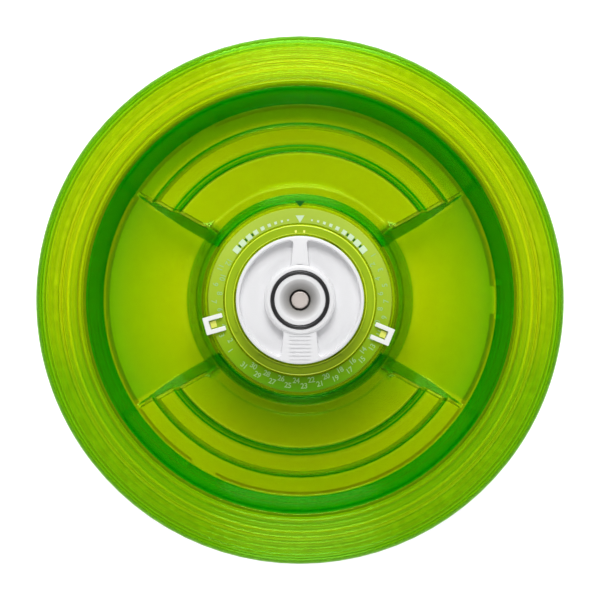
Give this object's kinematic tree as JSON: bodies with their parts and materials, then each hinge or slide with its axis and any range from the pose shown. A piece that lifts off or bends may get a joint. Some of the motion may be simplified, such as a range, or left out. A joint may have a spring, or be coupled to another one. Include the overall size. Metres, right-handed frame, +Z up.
{
  "type": "salad spinner",
  "caption": "Round salad spinner: clear bowl, slotted basket and translucent green lid with date dials; a central knob turns the basket through a planetary gear.",
  "frame": {"origin": "centre of the foot ring's underside, on the surface the spinner stands on", "axes": "+Z up along the spindle; +Y towards the tapering scale and the knob's narrow rib; +X towards the day dial"},
  "size_m": [0.262, 0.262, 0.1718],
  "materials": {
    "lid_green": "translucent lime green moulding, dark green where seen edge-on",
    "collar_green": "translucent lime green, glossy",
    "dial_frosted": "frosted pale lime with printed figures",
    "knob_white": "satin white moulding",
    "pointer_white": "satin white",
    "black_rubber": "black O-ring rubber",
    "spindle_steel": "turned end, warm grey",
    "steel": "plain stainless hardware",
    "gear_plastic": "natural acetal",
    "bearing_plastic": "dark grey bearing plastic",
    "drive_white": "satin white moulding",
    "basket_white": "satin white moulding",
    "bowl_clear": "clear moulding",
    "seal_rubber": "translucent silicone",
    "foot_rubber": "grey non-slip rubber"
  },
  "bodies": {
    "bowl": {"bowl": "bowl_clear", "bowl_foot_ring": "foot_rubber", "bowl_pivot": "steel"},
    "basket": {"basket": "basket_white", "basket_bush": "bearing_plastic"},
    "lid": {"lid_shell": "lid_green", "lid_seal": "seal_rubber", "dial_ring": "dial_frosted", "collar": "collar_green", "upper_bush": "bearing_plastic", "gear_plate": "gear_plastic", "planet_pins": "steel", "gear_plate_screws": "steel", "lower_bush": "bearing_plastic"},
    "knob": {"knob": "knob_white", "knob_o_ring": "black_rubber", "knob_screws": "steel", "ring_gear": "gear_plastic", "thrust_washer": "bearing_plastic"},
    "planet_1": {"planet_gear_1": "gear_plastic"},
    "planet_2": {"planet_gear_2": "gear_plastic"},
    "planet_3": {"planet_gear_3": "gear_plastic"},
    "spindle": {"spindle": "spindle_steel", "sun_gear": "gear_plastic", "spindle_clip": "steel", "drive_plate": "drive_white", "drive_washer": "steel", "drive_nut": "steel"},
    "month_pointer": {"month_pointer": "pointer_white"},
    "day_pointer": {"day_pointer": "pointer_white"}
  },
  "joints": [
    {"name": "lid_lift", "type": "slide", "parent": "bowl", "child": "lid", "axis": [0, 0, 1], "range_m": [0, 0.1]},
    {"name": "basket_spin", "type": "hinge", "parent": "bowl", "child": "basket", "pos_m": [0, 0, 0.02], "axis": [0, 0, 1], "continuous": true},
    {"name": "knob_spin", "type": "hinge", "parent": "lid", "child": "knob", "pos_m": [0, 0, 0.158], "axis": [0, 0, 1], "continuous": true},
    {"name": "spindle_spin", "type": "hinge", "parent": "lid", "child": "spindle", "pos_m": [0, 0, 0.138], "axis": [0, 0, 1], "continuous": true},
    {"name": "planet_1_spin", "type": "hinge", "parent": "lid", "child": "planet_1", "pos_m": [0.0162, 0, 0.1457], "axis": [0, 0, 1], "continuous": true},
    {"name": "planet_2_spin", "type": "hinge", "parent": "lid", "child": "planet_2", "pos_m": [-0.0081, 0.01403, 0.1457], "axis": [0, 0, 1], "continuous": true},
    {"name": "planet_3_spin", "type": "hinge", "parent": "lid", "child": "planet_3", "pos_m": [-0.0081, -0.01403, 0.1457], "axis": [0, 0, 1], "continuous": true},
    {"name": "month_pointer_turn", "type": "hinge", "parent": "lid", "child": "month_pointer", "pos_m": [0, 0, 0.158], "axis": [0, 0, 1], "range_deg": [-43.75, 20.25]},
    {"name": "day_pointer_turn", "type": "hinge", "parent": "lid", "child": "day_pointer", "pos_m": [0, 0, 0.158], "axis": [0, 0, 1], "range_deg": [-108, 54]}
  ],
  "couplings": [
    {"joint": "knob_spin", "follows": "basket_spin", "ratio": -0.33333},
    {"joint": "spindle_spin", "follows": "basket_spin", "ratio": 1},
    {"joint": "planet_1_spin", "follows": "basket_spin", "ratio": -1},
    {"joint": "planet_2_spin", "follows": "basket_spin", "ratio": -1},
    {"joint": "planet_3_spin", "follows": "basket_spin", "ratio": -1}
  ]
}
